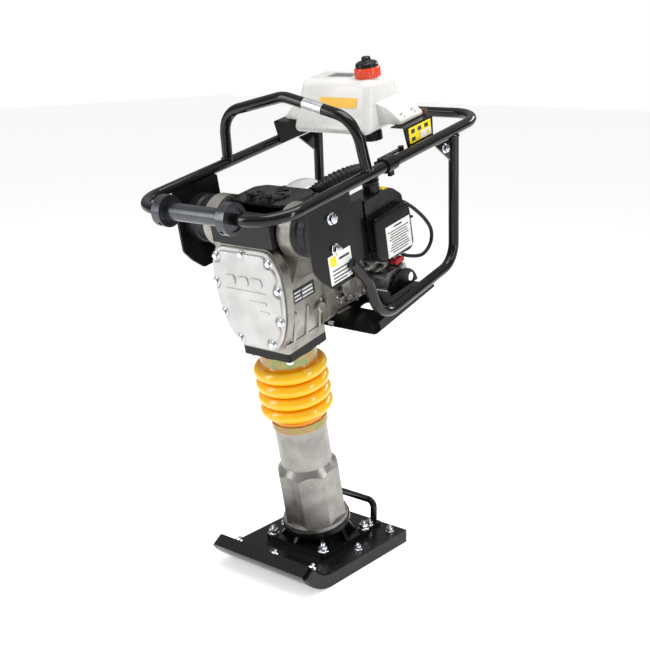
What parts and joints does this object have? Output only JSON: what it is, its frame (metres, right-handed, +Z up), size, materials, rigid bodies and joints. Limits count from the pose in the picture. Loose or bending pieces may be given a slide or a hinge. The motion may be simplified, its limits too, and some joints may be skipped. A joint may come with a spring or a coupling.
{
  "type": "jumping jack tamping rammer",
  "caption": "Upright tamping rammer with a steel-shod ramming shoe, sprung leg under yellow bellows, crank drive, small engine, tank and carrying frame.",
  "frame": {"origin": "on the ground under the leg axis, on the flat sole", "axes": "+Z up, the toe and the front cover face -Y, +X is the air cleaner side; leg, machine and frame lean forward 12.25 degrees about X"},
  "size_m": [0.424, 0.7838, 1.1561],
  "materials": {
    "black_paint": "gloss black paint on tube, plates and covers",
    "shoe_side": "matt black laminated core of the shoe",
    "cast_aluminium": "fine cast aluminium, slightly warm",
    "white_cover": "pale grey painted casting",
    "zinc": "bright zinc plated fasteners",
    "yellow_zinc": "yellow passivated steel",
    "machined_steel": "turned steel",
    "yellow_bellows": "glossy yellow polyurethane",
    "black_rubber": "matt black rubber",
    "black_plastic": "fine textured black plastic",
    "white_tank": "moulded white polyethylene",
    "orange_cap": "moulded orange red plastic",
    "red_switch": "moulded red plastic",
    "label_white": "printed label, plain blocks only",
    "label_yellow": "printed label, plain blocks only"
  },
  "bodies": {
    "foot": {"wear_plate": "black_paint", "shoe_core": "shoe_side", "shoe_bolts": "zinc", "foot_flange": "black_paint", "heel_handle": "black_paint", "spring_cylinder": "cast_aluminium", "cylinder_gland": "machined_steel", "lower_clamp_ring": "yellow_zinc", "bellows": "yellow_bellows", "lower_springs": "machined_steel", "upper_springs": "machined_steel"},
    "machine": {"guide_cylinder": "yellow_zinc", "mounting_flange": "black_paint", "upper_clamp_ring": "yellow_zinc", "crankcase": "cast_aluminium", "crankcase_cover": "white_cover", "case_bolts": "zinc", "rubber_mounts": "black_rubber", "shaft_bearings": "machined_steel", "clutch_housing": "cast_aluminium", "engine_block": "cast_aluminium", "cylinder_barrel": "cast_aluminium", "engine_shroud": "black_paint", "fan_housing": "black_paint", "recoil_cover": "black_paint", "muffler": "machined_steel", "muffler_guard": "black_paint", "carburettor": "machined_steel", "air_cleaner_case": "black_plastic", "air_cleaner_cover": "black_plastic", "precleaner_case": "black_plastic", "precleaner_lid": "black_plastic", "cyclone_bowl": "white_tank", "intake_hose": "black_rubber", "breather_hose": "black_rubber", "spark_plug": "white_tank"},
    "handle": {"top_frame": "black_paint", "lifting_bow": "black_paint", "rear_guards": "black_paint", "side_plates": "black_paint", "frame_bolts": "zinc", "roller_collars": "machined_steel", "skid_plate": "black_paint", "tank_brackets": "black_paint", "fuel_tank": "white_tank", "fuel_filter": "black_plastic", "throttle_clamp": "black_paint"},
    "crank": {"crank_gear": "machined_steel"},
    "rod": {"con_rod": "machined_steel", "piston_pin": "zinc"},
    "piston": {"drive_piston": "machined_steel"},
    "clutch": {"clutch_drum": "machined_steel"},
    "rotor": {"engine_shaft": "machined_steel"},
    "roller": {"carry_roller": "machined_steel"},
    "cap": {"tank_cap": "orange_cap"},
    "throttle": {"throttle_lever": "black_plastic"},
    "choke": {"choke_lever": "black_plastic"},
    "tap": {"tap_lever": "white_tank"},
    "switch": {"engine_switch": "red_switch"},
    "starter": {"starter_grip": "black_rubber"}
  },
  "joints": [
    {"name": "leg_slide", "type": "slide", "parent": "foot", "child": "machine", "axis": [0, -0.2122, 0.9772], "range_m": [-0.035, 0.025], "stiffness_N_per_m": 40000, "springref_m": 0.017, "deforming": ["bellows", "lower_springs", "upper_springs"]},
    {"name": "crank_turn", "type": "hinge", "parent": "machine", "child": "crank", "pos_m": [0, -0.15404, 0.70947], "axis": [0, 0.9772, 0.2122], "continuous": true},
    {"name": "clutch_turn", "type": "hinge", "parent": "machine", "child": "clutch", "pos_m": [0, -0.14004, 0.64497], "axis": [0, 0.9772, 0.2122], "continuous": true},
    {"name": "rod_swing", "type": "hinge", "parent": "crank", "child": "rod", "pos_m": [0, -0.1498, 0.68993], "axis": [0, 0.9772, 0.2122], "continuous": true},
    {"name": "piston_slide", "type": "slide", "parent": "machine", "child": "piston", "axis": [0, -0.2122, 0.9772], "range_m": [0, 0.04]},
    {"name": "engine_turn", "type": "hinge", "parent": "machine", "child": "rotor", "pos_m": [0, -0.14004, 0.64497], "axis": [0, 0.9772, 0.2122], "continuous": true},
    {"name": "handle_rock", "type": "hinge", "parent": "machine", "child": "handle", "pos_m": [0, -0.18477, 0.81331], "axis": [1, 0, 0], "range_deg": [-1.2, 1.2], "stiffness_Nm_per_rad": 6000, "springref_deg": 0.23},
    {"name": "roller_turn", "type": "hinge", "parent": "handle", "child": "roller", "pos_m": [0, -0.3748, 0.85903], "axis": [1, 0, 0], "continuous": true},
    {"name": "cap_turn", "type": "hinge", "parent": "handle", "child": "cap", "pos_m": [0.066, 0.08943, 1.12458], "axis": [0, -0.2122, 0.9772], "range_deg": [0, 270]},
    {"name": "throttle_swing", "type": "hinge", "parent": "handle", "child": "throttle", "pos_m": [0.176, -0.0108, 0.94523], "axis": [0, -0.2122, 0.9772], "range_deg": [0, 60]},
    {"name": "choke_swing", "type": "hinge", "parent": "machine", "child": "choke", "pos_m": [0.126, 0.06264, 0.70126], "axis": [1, 0, 0], "range_deg": [0, 60]},
    {"name": "tap_swing", "type": "hinge", "parent": "machine", "child": "tap", "pos_m": [0.136, 0.13588, 0.68441], "axis": [1, 0, 0], "range_deg": [0, 90]},
    {"name": "switch_rock", "type": "hinge", "parent": "machine", "child": "switch", "pos_m": [0.126, 0.11515, 0.70447], "axis": [1, 0, 0], "range_deg": [0, 15]},
    {"name": "starter_pull", "type": "slide", "parent": "machine", "child": "starter", "axis": [0, 0.9772, 0.2122], "range_m": [0, 0.5]}
  ],
  "couplings": [
    {"joint": "clutch_turn", "follows": "crank_turn", "ratio": -5.6},
    {"joint": "rod_swing", "follows": "crank_turn", "ratio": -1}
  ]
}
